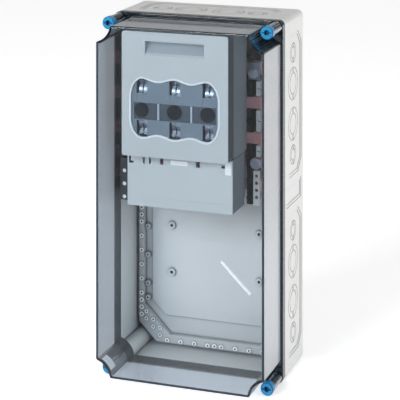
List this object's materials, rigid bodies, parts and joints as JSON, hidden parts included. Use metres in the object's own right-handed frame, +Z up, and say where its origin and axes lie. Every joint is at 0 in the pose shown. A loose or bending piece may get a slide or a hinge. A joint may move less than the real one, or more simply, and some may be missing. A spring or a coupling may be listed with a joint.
{
  "type": "fuse box panel",
  "caption": "Wall-mounted insulated fuse box with a deep clear lid on corner fasteners, holding copper busbars and a swing-cover fuse switch-disconnector.",
  "frame": {"origin": "centre of the rear face that rests on the wall", "axes": "+X to the right seen from the front, +Y into the wall (the lid faces -Y), +Z up"},
  "size_m": [0.3, 0.214, 0.6],
  "materials": {
    "base_grey": "fine textured moulding",
    "clear_lid": "smoked clear polycarbonate",
    "seal_rubber": "foamed seal",
    "fastener_blue": "moulded",
    "lug_steel": "plated",
    "spring_steel": "drawn wire",
    "copper": "bare copper, bright",
    "support_black": "glass filled",
    "zinc_steel": "zinc plated",
    "insert_white": "moulded",
    "clamp_steel": "zinc plated",
    "terminal_red": "copper coloured screws",
    "chassis_grey": "glass filled",
    "partition_grey": "moulded",
    "contact_silver": "silver plated copper",
    "arc_steel": "bare plate",
    "cover_grey": "fine textured moulding",
    "grip_grey": "moulded",
    "panel_tint": "tinted moulding",
    "window_clear": "clear pane",
    "cap_dark": "moulded",
    "carrier_dark": "glass filled",
    "label_white": "plain label",
    "slide_white": "moulded"
  },
  "bodies": {
    "base": {"base_box": "base_grey", "busbar_l1": "copper", "busbar_l2": "copper", "busbar_l3": "copper", "neutral_bar": "copper", "earth_bar": "copper", "busbar_support_left": "support_black", "busbar_support_right": "support_black", "support_screws": "zinc_steel", "support_inserts": "insert_white", "feed_clamp": "clamp_steel", "bar_washers": "zinc_steel", "bar_bolts": "zinc_steel", "terminal_strip": "insert_white", "terminal_strip_screws": "terminal_red", "switch_chassis": "chassis_grey", "pole_partitions": "partition_grey", "upper_jaws": "contact_silver", "lower_jaws": "contact_silver", "jaw_springs": "spring_steel", "arc_plates": "arc_steel", "feed_bars": "copper", "busbar_claws": "zinc_steel", "outlet_bars": "copper", "outlet_bolts": "zinc_steel", "outlet_washers": "zinc_steel", "chassis_screws": "zinc_steel", "signal_block": "support_black", "signal_screws": "zinc_steel", "signal_bracket": "zinc_steel", "pivot_pins": "spring_steel"},
    "lid": {"lid": "clear_lid", "lid_seal": "seal_rubber", "fastener_springs": "spring_steel"},
    "top_left_fastener": {"fastener_top_left": "fastener_blue", "lug_top_left": "lug_steel"},
    "top_right_fastener": {"fastener_top_right": "fastener_blue", "lug_top_right": "lug_steel"},
    "bottom_left_fastener": {"fastener_bottom_left": "fastener_blue", "lug_bottom_left": "lug_steel"},
    "bottom_right_fastener": {"fastener_bottom_right": "fastener_blue", "lug_bottom_right": "lug_steel"},
    "swing_cover": {"handle_cover": "cover_grey", "handle_grip": "grip_grey", "window_panel": "panel_tint", "view_window": "window_clear", "pole_caps": "cap_dark", "fuse_carriers": "carrier_dark", "divider_posts": "partition_grey"},
    "outlet_cover": {"terminal_cover": "cover_grey", "blank_label": "label_white"},
    "cover_seal": {"seal_slide": "slide_white"}
  },
  "joints": [
    {"name": "lid_lift", "type": "slide", "parent": "base", "child": "lid", "axis": [0, -1, 0], "range_m": [0, 0.45]},
    {"name": "top_left_turn", "type": "hinge", "parent": "lid", "child": "top_left_fastener", "pos_m": [-0.139, -0.177, 0.289], "axis": [0, 1, 0], "range_deg": [0, 90]},
    {"name": "top_right_turn", "type": "hinge", "parent": "lid", "child": "top_right_fastener", "pos_m": [0.139, -0.177, 0.289], "axis": [0, 1, 0], "range_deg": [0, 90]},
    {"name": "bottom_left_turn", "type": "hinge", "parent": "lid", "child": "bottom_left_fastener", "pos_m": [-0.139, -0.177, -0.289], "axis": [0, 1, 0], "range_deg": [0, 90]},
    {"name": "bottom_right_turn", "type": "hinge", "parent": "lid", "child": "bottom_right_fastener", "pos_m": [0.139, -0.177, -0.289], "axis": [0, 1, 0], "range_deg": [0, 90]},
    {"name": "cover_swing", "type": "hinge", "parent": "base", "child": "swing_cover", "pos_m": [-0.0155, -0.174, 0.078], "axis": [1, 0, 0], "range_deg": [0, 90]},
    {"name": "outlet_cover_slide", "type": "slide", "parent": "base", "child": "outlet_cover", "axis": [0, 0, -1], "range_m": [0, 0.06]},
    {"name": "seal_slide_travel", "type": "slide", "parent": "outlet_cover", "child": "cover_seal", "axis": [-1, 0, 0], "range_m": [0, 0.009]}
  ],
  "couplings": [
    {"joint": "cover_swing", "follows": "lid_lift", "rad_per_m": 3.49}
  ]
}
